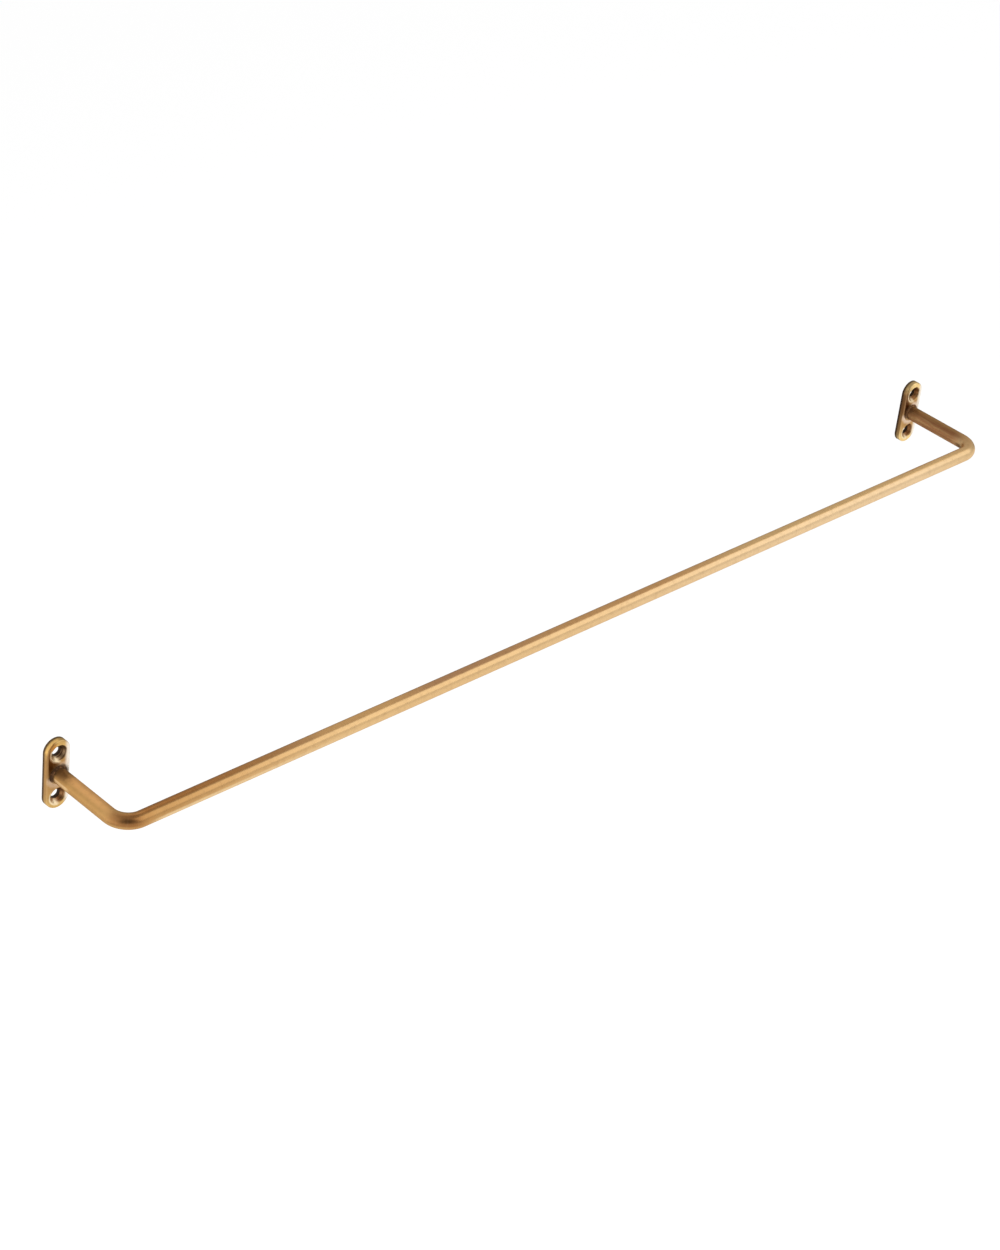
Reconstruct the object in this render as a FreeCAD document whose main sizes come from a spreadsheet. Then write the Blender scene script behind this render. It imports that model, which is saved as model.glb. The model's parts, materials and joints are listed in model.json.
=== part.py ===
"""Kitchen utensil rail: a brass rod bent at both ends and brazed into two small wall plates.

The wall is the plane y = 0 and the rail stands out towards -Y. X runs along the hook bar and Z is up.
The origin is on the wall, midway between the two plates, at the height of the arms.
"""
import FreeCAD, Part
import math
import os
import Sketcher

Vector = FreeCAD.Vector

# Driving dimensions in millimetres, and one angle in degrees
DIMENSIONS = [
    ("rod_dia", 8.0, "diameter of the bent rod"),
    ("arm_spacing", 602.0, "distance between the axes of the two arms"),
    ("wall_to_bar", 52.5, "from the wall to the axis of the hook bar"),
    ("bend_radius", 10.5, "radius of each bend, to the axis of the rod"),
    ("spigot_dia", 6.0, "turned end of the rod inside the plate"),
    ("spigot_setback", 0.3, "how far the spigot stops short of the wall"),
    ("spigot_chamfer", 0.5, "lead-in on the end of the spigot"),
    ("spigot_clearance", 0.05, "gap round the spigot, for the braze to run into"),
    ("flange_height", 38.0, "height of a plate over its round ends"),
    ("flange_width", 13.0, "width of a plate"),
    ("flange_thick", 3.9, "thickness of a plate"),
    ("flange_edge_round", 0.8, "rounding of the plate's front edge"),
    ("screw_spacing", 24.0, "distance between the two screw holes of a plate"),
    ("screw_hole_dia", 4.5, "clearance hole for a wall screw"),
    ("countersink_dia", 9.0, "rim of the countersink"),
    ("countersink_angle", 90.0, "included angle of the countersink"),
    ("braze_leg", 1.0, "reach of the braze fillet along the plate and along the rod"),
    ("braze_toe", 0.12, "thickness of the braze fillet at its two edges"),
    ("braze_hollow", 1.6, "radius of the braze fillet's hollow face"),
]

# Numbers by which a sketch knows the points of a curve and its own two axes
START, END, CENTRE = range(1, 4)
HORIZONTAL_AXIS, VERTICAL_AXIS = range(-1, -3, -1)
ORIGIN_POINT = (HORIZONTAL_AXIS, START)

# How close, in millimetres, counts as the same place
SAME_PLACE = 1e-4

doc = FreeCAD.newDocument("utensil_rail")


def make_sheet():
    """The spreadsheet that holds every driving dimension under its alias."""
    sheet = doc.addObject("Spreadsheet::Sheet", "sizes")
    for row, (alias, value, meaning) in enumerate(DIMENSIONS, start=1):
        sheet.set(f"A{row}", meaning)
        sheet.set(f"B{row}", str(value))
        sheet.setAlias(f"B{row}", alias)
    doc.recompute()
    return sheet


sheet = make_sheet()


def size(alias):
    """The present value of a driving dimension."""
    return float(sheet.get(alias))


def make_body(label):
    body = doc.addObject("PartDesign::Body", label)
    body.Label = label
    return body


def make_sketch(body, name, plane_role, offset=None):
    """A sketch on one of the body's origin planes, moved along the plane's normal by an expression."""
    sketch = body.newObject("Sketcher::SketchObject", name)
    plane = next(item for item in body.Origin.OriginFeatures if item.Role == plane_role)
    sketch.AttachmentSupport = [(plane, "")]
    sketch.MapMode = "FlatFace"
    if offset:
        sketch.setExpression("AttachmentOffset.Base.z", offset)
    doc.recompute()
    return sketch


def bind(sketch, name, expression, *constraint):
    """A dimension of the sketch, under its own name and tied to the spreadsheet."""
    index = sketch.addConstraint(Sketcher.Constraint(*constraint))
    sketch.renameConstraint(index, name)
    sketch.setExpression("Constraints." + name, expression)


def relate(sketch, *constraint):
    """A geometric relation with no dimension of its own."""
    sketch.addConstraint(Sketcher.Constraint(*constraint))


def add_line(sketch, start, end):
    return sketch.addGeometry(Part.LineSegment(Vector(*start, 0), Vector(*end, 0)), False)


def add_arc(sketch, centre, radius, first_angle, last_angle):
    """A counter-clockwise arc, with its angles in degrees."""
    circle = Part.Circle(Vector(*centre, 0), Vector(0, 0, 1), radius)
    arc = Part.ArcOfCircle(circle, math.radians(first_angle), math.radians(last_angle))
    return sketch.addGeometry(arc, False)


def add_circle(sketch, centre, radius):
    return sketch.addGeometry(Part.Circle(Vector(*centre, 0), Vector(0, 0, 1), radius), False)


def edges_at_depth(shape, depth):
    """Names of the edges that lie wholly in the plane y = depth."""
    names = []
    for number, edge in enumerate(shape.Edges, start=1):
        offsets = [abs(vertex.Y - depth) for vertex in edge.Vertexes]
        offsets.append(abs(edge.CenterOfMass.y - depth))
        if max(offsets) < SAME_PLACE:
            names.append(f"Edge{number}")
    return names


def make_rod():
    """The bent rod: a round section swept along arm, bend, bar, bend and arm, with a spigot at each end."""
    body = make_body("rail_rod")
    half = size("arm_spacing") / 2
    bar_depth = -size("wall_to_bar")
    arm_end = -size("flange_thick")
    bend = size("bend_radius")
    bend_depth = bar_depth + bend

    path = make_sketch(body, "rod_path", "XY_Plane")
    left_arm = add_line(path, (-half, arm_end), (-half, bend_depth))
    left_bend = add_arc(path, (-half + bend, bend_depth), bend, 180, 270)
    bar = add_line(path, (-half + bend, bar_depth), (half - bend, bar_depth))
    right_bend = add_arc(path, (half - bend, bend_depth), bend, 270, 360)
    right_arm = add_line(path, (half, bend_depth), (half, arm_end))
    relate(path, "Vertical", left_arm)
    relate(path, "Horizontal", bar)
    relate(path, "Vertical", right_arm)
    relate(path, "Tangent", left_arm, END, left_bend, START)
    relate(path, "Tangent", left_bend, END, bar, START)
    relate(path, "Tangent", bar, END, right_bend, START)
    relate(path, "Tangent", right_bend, END, right_arm, START)
    relate(path, "Equal", left_bend, right_bend)
    relate(path, "Symmetric", left_arm, START, right_arm, END, VERTICAL_AXIS)
    bind(path, "bend", "sizes.bend_radius", "Radius", left_bend, bend)
    bind(path, "spacing", "sizes.arm_spacing", "DistanceX", left_arm, START, right_arm, END, 2 * half)
    bind(path, "seat", "sizes.flange_thick", "DistanceY", left_arm, START, *ORIGIN_POINT, -arm_end)
    bind(path, "reach", "sizes.wall_to_bar", "DistanceY", bar, START, *ORIGIN_POINT, -bar_depth)

    section = make_sketch(body, "rod_section", "XZ_Plane", "sizes.flange_thick")
    outline = add_circle(section, (-half, 0), size("rod_dia") / 2)
    relate(section, "PointOnObject", outline, CENTRE, HORIZONTAL_AXIS)
    bind(section, "place", "sizes.arm_spacing / 2", "DistanceX", outline, CENTRE, *ORIGIN_POINT, half)
    bind(section, "rod", "sizes.rod_dia", "Diameter", outline, size("rod_dia"))
    doc.recompute()

    pipe = body.newObject("PartDesign::AdditivePipe", "bent_rod")
    pipe.Profile = section
    pipe.Spine = (path, [f"Edge{number}" for number in range(1, path.GeometryCount + 1)])
    doc.recompute()

    ends = make_sketch(body, "spigot_section", "XZ_Plane", "sizes.flange_thick")
    for name, side in (("left", -1), ("right", 1)):
        circle = add_circle(ends, (side * half, 0), size("spigot_dia") / 2)
        relate(ends, "PointOnObject", circle, CENTRE, HORIZONTAL_AXIS)
        span = (circle, CENTRE, *ORIGIN_POINT) if side < 0 else (*ORIGIN_POINT, circle, CENTRE)
        bind(ends, name + "_place", "sizes.arm_spacing / 2", "DistanceX", *span, half)
        bind(ends, name + "_dia", "sizes.spigot_dia", "Diameter", circle, size("spigot_dia"))
    doc.recompute()

    spigots = body.newObject("PartDesign::Pad", "spigots")
    spigots.Profile = ends
    spigots.Reversed = True
    spigots.setExpression("Length", "sizes.flange_thick - sizes.spigot_setback")
    doc.recompute()

    lead_in = body.newObject("PartDesign::Chamfer", "spigot_lead_in")
    lead_in.Base = (spigots, edges_at_depth(spigots.Shape, -size("spigot_setback")))
    lead_in.setExpression("Size", "sizes.spigot_chamfer")
    doc.recompute()
    return body


def make_flange(label, side):
    """A wall plate with round ends, a rounded front edge, two countersunk holes and the spigot's bore."""
    body = make_body(label)
    end_radius = size("flange_width") / 2
    straight = size("flange_height") / 2 - end_radius

    outline = make_sketch(body, label + "_outline", "XZ_Plane")
    top = add_arc(outline, (0, straight), end_radius, 0, 180)
    left = add_line(outline, (-end_radius, straight), (-end_radius, -straight))
    bottom = add_arc(outline, (0, -straight), end_radius, 180, 360)
    right = add_line(outline, (end_radius, -straight), (end_radius, straight))
    relate(outline, "Tangent", top, END, left, START)
    relate(outline, "Tangent", left, END, bottom, START)
    relate(outline, "Tangent", bottom, END, right, START)
    relate(outline, "Tangent", right, END, top, START)
    relate(outline, "Symmetric", top, CENTRE, bottom, CENTRE, *ORIGIN_POINT)
    relate(outline, "PointOnObject", top, CENTRE, VERTICAL_AXIS)
    bind(outline, "end_round", "sizes.flange_width / 2", "Radius", top, end_radius)
    bind(outline, "length", "sizes.flange_height - sizes.flange_width",
         "DistanceY", bottom, CENTRE, top, CENTRE, 2 * straight)
    doc.recompute()

    plate = body.newObject("PartDesign::Pad", label + "_plate")
    plate.Profile = outline
    plate.setExpression("Length", "sizes.flange_thick")
    doc.recompute()

    front = body.newObject("PartDesign::Fillet", label + "_front_edge")
    front.Base = (plate, edges_at_depth(plate.Shape, -size("flange_thick")))
    front.setExpression("Radius", "sizes.flange_edge_round")
    doc.recompute()

    centres = make_sketch(body, label + "_screw_centres", "XZ_Plane", "sizes.flange_thick")
    from_arm = size("screw_spacing") / 2
    for name, side_of_arm in (("upper", 1), ("lower", -1)):
        circle = add_circle(centres, (0, side_of_arm * from_arm), size("screw_hole_dia") / 2)
        relate(centres, "PointOnObject", circle, CENTRE, VERTICAL_AXIS)
        span = (circle, CENTRE, *ORIGIN_POINT) if side_of_arm < 0 else (*ORIGIN_POINT, circle, CENTRE)
        bind(centres, name + "_place", "sizes.screw_spacing / 2", "DistanceY", *span, from_arm)
        bind(centres, name + "_dia", "sizes.screw_hole_dia", "Diameter", circle, size("screw_hole_dia"))
    doc.recompute()

    screws = body.newObject("PartDesign::Hole", label + "_screw_holes")
    screws.Profile = centres
    doc.recompute()
    screws.Threaded = False
    screws.DepthType = "ThroughAll"
    screws.HoleCutType = "Countersink"
    screws.setExpression("Diameter", "sizes.screw_hole_dia")
    screws.setExpression("HoleCutDiameter", "sizes.countersink_dia")
    screws.setExpression("HoleCutCountersinkAngle", "sizes.countersink_angle")
    doc.recompute()

    seat = make_sketch(body, label + "_spigot_seat", "XZ_Plane", "sizes.flange_thick")
    bore_dia = size("spigot_dia") + 2 * size("spigot_clearance")
    circle = add_circle(seat, (0, 0), bore_dia / 2)
    relate(seat, "Coincident", circle, CENTRE, *ORIGIN_POINT)
    bind(seat, "bore", "sizes.spigot_dia + 2 * sizes.spigot_clearance", "Diameter", circle, bore_dia)
    doc.recompute()

    bore = body.newObject("PartDesign::Pocket", label + "_spigot_bore")
    bore.Profile = seat
    bore.Type = "ThroughAll"
    doc.recompute()

    body.setExpression("Placement.Base.x", f"{side} * sizes.arm_spacing / 2")
    doc.recompute()
    return body


def make_braze_fillet(label, side):
    """The hollow-faced ring of braze that fills the corner between an arm and its plate."""
    body = make_body(label)
    inner = size("rod_dia") / 2
    leg = size("braze_leg")
    toe = size("braze_toe")
    hollow_radius = size("braze_hollow")
    face = -size("flange_thick")

    # The hollow face is an arc about a point as far out from the rod as from the plate, angles in degrees
    towards_corner = 135
    half_chord = math.hypot(leg - toe, leg - toe) / 2
    half_angle = math.degrees(math.asin(half_chord / hollow_radius))
    outward = (leg + toe) / 2 + math.sqrt((hollow_radius ** 2 - half_chord ** 2) / 2)
    hollow_centre = (inner + outward, face - outward)
    first_angle = towards_corner - half_angle
    last_angle = towards_corner + half_angle

    section = make_sketch(body, label + "_section", "XY_Plane")
    on_plate = add_line(section, (inner, face), (inner + leg, face))
    outer_toe = add_line(section, (inner + leg, face), (inner + leg, face - toe))
    hollow = add_arc(section, hollow_centre, hollow_radius, first_angle, last_angle)
    rod_toe = add_line(section, (inner + toe, face - leg), (inner, face - leg))
    on_rod = add_line(section, (inner, face - leg), (inner, face))
    relate(section, "Coincident", on_plate, END, outer_toe, START)
    relate(section, "Coincident", outer_toe, END, hollow, START)
    relate(section, "Coincident", hollow, END, rod_toe, START)
    relate(section, "Coincident", rod_toe, END, on_rod, START)
    relate(section, "Coincident", on_rod, END, on_plate, START)
    relate(section, "Horizontal", on_plate)
    relate(section, "Vertical", outer_toe)
    relate(section, "Horizontal", rod_toe)
    relate(section, "Vertical", on_rod)
    bind(section, "rod_radius", "sizes.rod_dia / 2", "DistanceX", *ORIGIN_POINT, on_plate, START, inner)
    bind(section, "plate_face", "sizes.flange_thick", "DistanceY", on_plate, START, *ORIGIN_POINT, -face)
    bind(section, "plate_leg", "sizes.braze_leg", "DistanceX", on_plate, START, on_plate, END, leg)
    bind(section, "rod_leg", "sizes.braze_leg", "DistanceY", on_rod, START, on_rod, END, leg)
    bind(section, "plate_edge", "sizes.braze_toe", "DistanceY", outer_toe, END, outer_toe, START, toe)
    bind(section, "rod_edge", "sizes.braze_toe", "DistanceX", rod_toe, END, rod_toe, START, toe)
    bind(section, "hollow", "sizes.braze_hollow", "Radius", hollow, hollow_radius)
    doc.recompute()

    ring = body.newObject("PartDesign::Revolution", label + "_ring")
    ring.Profile = section
    ring.ReferenceAxis = (section, ["V_Axis"])
    doc.recompute()

    body.setExpression("Placement.Base.x", f"{side} * sizes.arm_spacing / 2")
    doc.recompute()
    return body


def check_document(bodies):
    """Stops if any object failed to compute or any sub-part is not one sound solid."""
    doc.recompute()
    for item in doc.Objects:
        if "Invalid" in item.State or "Error" in item.State:
            raise RuntimeError(f"{item.Name} failed: {item.State}")
    for body in bodies:
        if body.Shape.isNull() or not body.Shape.isValid():
            raise RuntimeError(f"{body.Label} has no valid shape")
        if len(body.Shape.Solids) != 1:
            raise RuntimeError(f"{body.Label} is not one solid")


def main():
    bodies = [make_rod()]
    for name, side in (("left", -1), ("right", 1)):
        bodies.append(make_flange(name + "_flange", side))
        bodies.append(make_braze_fillet(name + "_braze_fillet", side))
    check_document(bodies)
    os.makedirs("parts", exist_ok=True)
    for body in bodies:
        body.Shape.exportStep(os.path.join("parts", body.Label + ".step"))
        print(body.Label, round(body.Shape.Volume, 2), "mm3")


main()
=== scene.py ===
"""Looks of the kitchen utensil rail: fine meshes of its brass pieces, their aged finish and the studio."""
import json
import math

import bmesh
import bpy
from mathutils import Matrix, Vector


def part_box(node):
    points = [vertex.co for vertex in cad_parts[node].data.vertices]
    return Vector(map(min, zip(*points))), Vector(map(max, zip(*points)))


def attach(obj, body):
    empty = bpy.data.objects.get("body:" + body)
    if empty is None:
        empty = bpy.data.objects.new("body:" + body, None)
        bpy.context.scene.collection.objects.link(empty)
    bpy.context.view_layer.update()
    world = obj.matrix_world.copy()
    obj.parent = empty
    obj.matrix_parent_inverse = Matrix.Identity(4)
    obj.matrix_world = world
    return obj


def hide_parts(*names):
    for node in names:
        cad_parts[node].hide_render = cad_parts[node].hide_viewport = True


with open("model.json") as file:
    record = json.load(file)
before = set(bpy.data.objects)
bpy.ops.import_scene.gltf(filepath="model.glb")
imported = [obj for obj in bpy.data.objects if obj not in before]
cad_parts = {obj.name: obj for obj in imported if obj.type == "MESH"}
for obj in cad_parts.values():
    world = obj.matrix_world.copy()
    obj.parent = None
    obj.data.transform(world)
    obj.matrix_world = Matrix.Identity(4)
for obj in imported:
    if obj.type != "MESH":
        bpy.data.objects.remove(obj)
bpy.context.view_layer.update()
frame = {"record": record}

# Sizes from the frame, in metres
MM = 0.001
mounts = {mount["name"]: mount for mount in frame["record"]["mounts"]}
bar_dims = mounts["hook_bar"]["dims"]
screw_dims = mounts["wall_screws"]["dims"]
ROD_RADIUS = bar_dims["r_mm"] * MM
ARM_X = screw_dims["spacing_x_mm"] / 2 * MM
BAR_Y = mounts["hook_bar"]["pos_m"][1]
BEND_RADIUS = ARM_X - bar_dims["length_mm"] / 2 * MM
SCREW_Z = screw_dims["spacing_y_mm"] / 2 * MM
HOLE_RADIUS = screw_dims["hole_r_mm"] * MM
plate_low, plate_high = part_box("left_flange")
PLATE_WIDTH = plate_high.x - plate_low.x
PLATE_HEIGHT = plate_high.z - plate_low.z
PLATE_FACE = plate_low.y
SPIGOT_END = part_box("rail_rod")[1].y
BRAZE_LEG = PLATE_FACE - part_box("left_braze_fillet")[0].y

# Sizes that the frame does not state, in metres
SPIGOT_RADIUS = 3.0 * MM
SPIGOT_CHAMFER = 0.5 * MM
BORE_RADIUS = 3.05 * MM
FRONT_ROUND = 0.8 * MM
BACK_ROUND = 0.15 * MM
COUNTERSINK_RADIUS = 4.5 * MM
RIM_ROUND = 0.2 * MM
HOLE_ROUND = 0.04 * MM
FLAT_MARGIN = 0.06 * MM
BRAZE_TOE = 0.12 * MM
BRAZE_HOLLOW = 1.6 * MM

# Unevenness of the braze: for each wave, a share of the braze's size, a count round the ring and a phase
BRAZE_WAVES = ((0.09, 2, 0.7), (0.06, 5, 2.1))

# Direction in the braze's section from the centre of its hollow to the corner that it fills
BRAZE_CORNER = math.radians(225)

# How finely the meshes are divided, and the angle from which an edge stays sharp
ROD_SIDES = 96
CIRCLE_SIDES = 96
BEND_STEPS = 40
ARM_STEP = 1.0 * MM
BAR_STEP = 3.0 * MM
ROUND_STEPS = 10
PLATE_END_STEPS = 64
PLATE_SIDE_STEPS = 20
BRAZE_STEPS = 12
SHARP_ANGLE = math.radians(35)

# Camera, fitted to the photograph's outlines
CAMERA_AZIMUTH = math.radians(-46.666)
CAMERA_ELEVATION = math.radians(33.291)
CAMERA_ROLL = math.radians(6.706)
CAMERA_DISTANCE = 1.7106
CAMERA_RIGHT = -0.01302
CAMERA_UP = -0.02801
FOCAL_PIXELS = 3308.5
IMAGE_PIXELS_HIGH = 1250
SENSOR_MM = 36.0

UP = Vector((0, 0, 1))
TO_WALL = Vector((0, 1, 0))


# Mesh building

def finish_piece(mesh, name, node, material, place=(0, 0, 0)):
    """Turns the built mesh into a piece that stands for a node of the frame."""
    bmesh.ops.recalc_face_normals(mesh, faces=mesh.faces)
    data = bpy.data.meshes.new(name)
    mesh.to_mesh(data)
    mesh.free()
    data.shade_smooth()
    data.set_sharp_from_angle(angle=SHARP_ANGLE)
    data.materials.append(material)
    piece = bpy.data.objects.new(name, data)
    piece.location = place
    bpy.context.scene.collection.objects.link(piece)
    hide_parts(node)
    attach(piece, "root")


def add_loops(mesh, loops, closed=False):
    """Adds closed loops of points, joins each to the next with a ring of quads and returns their vertices."""
    rings = [[mesh.verts.new(point) for point in loop] for loop in loops]
    followers = rings[1:] + rings[:1] if closed else rings[1:]
    for ring, follower in zip(rings, followers):
        count = len(ring)
        for index in range(count):
            after = (index + 1) % count
            mesh.faces.new((ring[index], ring[after], follower[after], follower[index]))
    return rings


def fill_between(mesh, rings):
    """Fills the flat region that the first ring bounds and the other rings leave open."""
    edges = []
    for ring in rings:
        for first, second in zip(ring, ring[1:] + ring[:1]):
            edges.append(mesh.edges.get((first, second)))
    bmesh.ops.triangle_fill(mesh, use_beauty=True, edges=edges)


def rounded_profile(corners):
    """Points (across, depth, wear) along a line of (across, depth, rounding) corners.

    A corner with a rounding becomes an arc of that radius, and wear rises to 1 at the middle of the arc.
    """
    points = []
    for index, (across, depth, rounding) in enumerate(corners):
        if not rounding:
            points.append((across, depth, 0.0))
            continue
        corner = Vector((across, depth))
        back = (Vector(corners[index - 1][:2]) - corner).normalized()
        ahead = (Vector(corners[index + 1][:2]) - corner).normalized()
        half_angle = back.angle(ahead) / 2
        centre = corner + (back + ahead).normalized() * rounding / math.sin(half_angle)
        start = corner + back * rounding / math.tan(half_angle) - centre
        end = corner + ahead * rounding / math.tan(half_angle) - centre
        sweep = start.angle(end)
        aside = (end - start * math.cos(sweep)) / math.sin(sweep)
        for step in range(ROUND_STEPS + 1):
            share = step / ROUND_STEPS
            point = centre + start * math.cos(share * sweep) + aside * math.sin(share * sweep)
            points.append((point.x, point.y, math.sin(share * math.pi)))
    return points


def circle_loop(radius, depth, height=0.0):
    """A circle about the Y direction, at a depth and a height."""
    turns = [2 * math.pi * index / CIRCLE_SIDES for index in range(CIRCLE_SIDES)]
    return [Vector((radius * math.cos(turn), depth, height + radius * math.sin(turn))) for turn in turns]


def plate_loop(inset, depth):
    """The plate's round-ended outline, moved in by the inset, at a depth."""
    radius = PLATE_WIDTH / 2 - inset
    straight = (PLATE_HEIGHT - PLATE_WIDTH) / 2
    loop = []
    for side in (1, -1):
        for step in range(PLATE_END_STEPS + 1):
            turn = math.pi * step / PLATE_END_STEPS
            loop.append(side * Vector((radius * math.cos(turn), 0, straight + radius * math.sin(turn))))
        for step in range(1, PLATE_SIDE_STEPS):
            height = straight * (1 - 2 * step / PLATE_SIDE_STEPS)
            loop.append(side * Vector((-radius, 0, height)))
    return [point + depth * TO_WALL for point in loop]


# The pieces

def rod_stations():
    """Stations (x, y, turn, radius, run) along the left half of the rod, from the wall to the bar's middle.

    The turn goes from 0 on the arm to 90 degrees on the bar, and the run is the length of rod from the wall.
    """
    stations = [
        (-ARM_X, SPIGOT_END, 0.0, SPIGOT_RADIUS - SPIGOT_CHAMFER, 0.0),
        (-ARM_X, SPIGOT_END - SPIGOT_CHAMFER, 0.0, SPIGOT_RADIUS, 0.0),
        (-ARM_X, PLATE_FACE, 0.0, SPIGOT_RADIUS, -PLATE_FACE),
    ]
    bend_y = BAR_Y + BEND_RADIUS
    arm_steps = math.ceil((PLATE_FACE - bend_y) / ARM_STEP)
    for step in range(arm_steps):
        y = PLATE_FACE + (bend_y - PLATE_FACE) * step / arm_steps
        stations.append((-ARM_X, y, 0.0, ROD_RADIUS, -y))
    for step in range(BEND_STEPS):
        turn = math.pi / 2 * step / BEND_STEPS
        x = -ARM_X + BEND_RADIUS * (1 - math.cos(turn))
        y = bend_y - BEND_RADIUS * math.sin(turn)
        stations.append((x, y, turn, ROD_RADIUS, -bend_y + BEND_RADIUS * turn))
    bar_start = -ARM_X + BEND_RADIUS
    bar_run = -bend_y + BEND_RADIUS * math.pi / 2
    bar_steps = math.ceil(-bar_start / BAR_STEP)
    for step in range(bar_steps + 1):
        x = bar_start * (1 - step / bar_steps)
        stations.append((x, BAR_Y, math.pi / 2, ROD_RADIUS, bar_run + x - bar_start))
    return stations


def rod_length():
    """The length of rod from wall to wall."""
    *_, half_length = rod_stations()[-1]
    return 2 * half_length


def build_rod(material):
    """The bent rod, with each point's place on the straight rod kept for the finish."""
    left = rod_stations()
    whole_run = rod_length()
    right = [(-x, y, math.pi - turn, radius, whole_run - run) for x, y, turn, radius, run in left[-2::-1]]
    mesh = bmesh.new()
    straight_layer = mesh.verts.layers.float_vector.new("straightened")
    angles = [2 * math.pi * index / ROD_SIDES for index in range(ROD_SIDES)]
    directions = [(math.cos(angle), math.sin(angle)) for angle in angles]
    loops = []
    straightened = []
    for x, y, turn, radius, run in left + right:
        outward = Vector((-math.cos(turn), -math.sin(turn), 0))
        centre = Vector((x, y, 0))
        loops.append([centre + radius * (out * outward + up * UP) for out, up in directions])
        straightened.append([Vector((run, radius * out, radius * up)) for out, up in directions])
    rings = add_loops(mesh, loops)
    for ring, places in zip(rings, straightened):
        for vertex, place in zip(ring, places):
            vertex[straight_layer] = place
    mesh.faces.new(rings[0])
    mesh.faces.new(rings[-1])
    finish_piece(mesh, "brass_rod", "rail_rod", material)


def build_plate(side_name, side, material):
    """A wall plate with a rounded front edge, softened countersunk holes and a bore for the spigot."""
    mesh = bmesh.new()
    wear_layer = mesh.verts.layers.float.new("edge_wear")

    def add_profile(loop_of, corners):
        """Adds the surface that follows a rounded line of corners, and returns its first and last ring."""
        profile = rounded_profile(corners)
        rings = add_loops(mesh, [loop_of(across, depth) for across, depth, _ in profile])
        for ring, (_, _, wear) in zip(rings, profile):
            for vertex in ring:
                vertex[wear_layer] = wear
        return rings[0], rings[-1]

    outer_back, outer_front = add_profile(plate_loop, [
        (BACK_ROUND + FLAT_MARGIN, 0.0, 0.0),
        (0.0, 0.0, BACK_ROUND),
        (0.0, PLATE_FACE, FRONT_ROUND),
        (FRONT_ROUND + FLAT_MARGIN, PLATE_FACE, 0.0),
    ])
    cone_depth = PLATE_FACE + COUNTERSINK_RADIUS - HOLE_RADIUS
    fronts = [outer_front]
    backs = [outer_back]
    for height in (SCREW_Z, -SCREW_Z):
        front, back = add_profile(lambda across, depth: circle_loop(across, depth, height), [
            (COUNTERSINK_RADIUS + RIM_ROUND, PLATE_FACE, 0.0),
            (COUNTERSINK_RADIUS, PLATE_FACE, RIM_ROUND),
            (HOLE_RADIUS, cone_depth, HOLE_ROUND),
            (HOLE_RADIUS, 0.0, HOLE_ROUND),
            (HOLE_RADIUS + HOLE_ROUND + FLAT_MARGIN, 0.0, 0.0),
        ])
        fronts.append(front)
        backs.append(back)
    front, back = add_profile(circle_loop, [(BORE_RADIUS, PLATE_FACE, 0.0), (BORE_RADIUS, 0.0, 0.0)])
    fill_between(mesh, fronts + [front])
    fill_between(mesh, backs + [back])
    name = side_name + "_plate"
    finish_piece(mesh, name, side_name + "_flange", material, (side * ARM_X, 0, 0))


def build_braze(side_name, side, material):
    """The ring of braze in the corner of arm and plate, with the small unevenness of a hand-fed joint."""
    half_chord = (BRAZE_LEG - BRAZE_TOE) / math.sqrt(2)
    half_angle = math.asin(half_chord / BRAZE_HOLLOW)
    outward = (BRAZE_LEG + BRAZE_TOE) / 2 + math.sqrt((BRAZE_HOLLOW ** 2 - half_chord ** 2) / 2)
    section = [(0.0, 0.0), (BRAZE_LEG, 0.0)]
    for step in range(BRAZE_STEPS + 1):
        angle = BRAZE_CORNER + half_angle * (1 - 2 * step / BRAZE_STEPS)
        section.append((outward + BRAZE_HOLLOW * math.cos(angle), outward + BRAZE_HOLLOW * math.sin(angle)))
    section.append((0.0, BRAZE_LEG))
    mesh = bmesh.new()
    loops = []
    for across, along in section:
        loop = []
        for point in circle_loop(ROD_RADIUS, PLATE_FACE):
            turn = math.atan2(point.z, side * point.x)
            uneven = 1
            for share, count, phase in BRAZE_WAVES:
                uneven += share * math.sin(count * turn + phase)
            out = Vector((point.x, 0, point.z)).normalized()
            loop.append(point + uneven * (across * out - along * TO_WALL))
        loops.append(loop)
    add_loops(mesh, loops, closed=True)
    name = side_name + "_braze"
    finish_piece(mesh, name, side_name + "_braze_fillet", material, (side * ARM_X, 0, 0))


# Shader building

# Settings of most of the noise
GRAIN_DETAIL = 3.0
GRAIN_ROUGHNESS = 0.55


def add_node(tree, kind, inputs=None, **settings):
    """Adds a node, sets its properties, and gives each named input a number, a colour or a link."""
    node = tree.nodes.new(kind)
    for name, value in settings.items():
        setattr(node, name, value)
    for key, value in (inputs or {}).items():
        if isinstance(value, bpy.types.NodeSocket):
            tree.links.new(value, node.inputs[key])
        else:
            node.inputs[key].default_value = value
    return node


def calculate(tree, operation, first, second=0.0):
    """The result of one operation on one or two numbers."""
    return add_node(tree, "ShaderNodeMath", {0: first, 1: second}, operation=operation).outputs[0]


def product(tree, *factors):
    """All the factors multiplied."""
    result, *others = factors
    for factor in others:
        result = calculate(tree, "MULTIPLY", result, factor)
    return result


def greatest(tree, *values):
    """The largest of the values."""
    result, *others = values
    for value in others:
        result = calculate(tree, "MAXIMUM", result, value)
    return result


def rest_of(tree, share):
    """What a share leaves of 1."""
    return calculate(tree, "SUBTRACT", 1.0, share)


def ramp(tree, value, stretch, levels):
    """Goes smoothly from the first level to the second as the value goes over the stretch."""
    inputs = {"Value": value}
    inputs["From Min"], inputs["From Max"] = stretch
    inputs["To Min"], inputs["To Max"] = levels
    return add_node(tree, "ShaderNodeMapRange", inputs, interpolation_type="SMOOTHSTEP").outputs["Result"]


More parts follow.
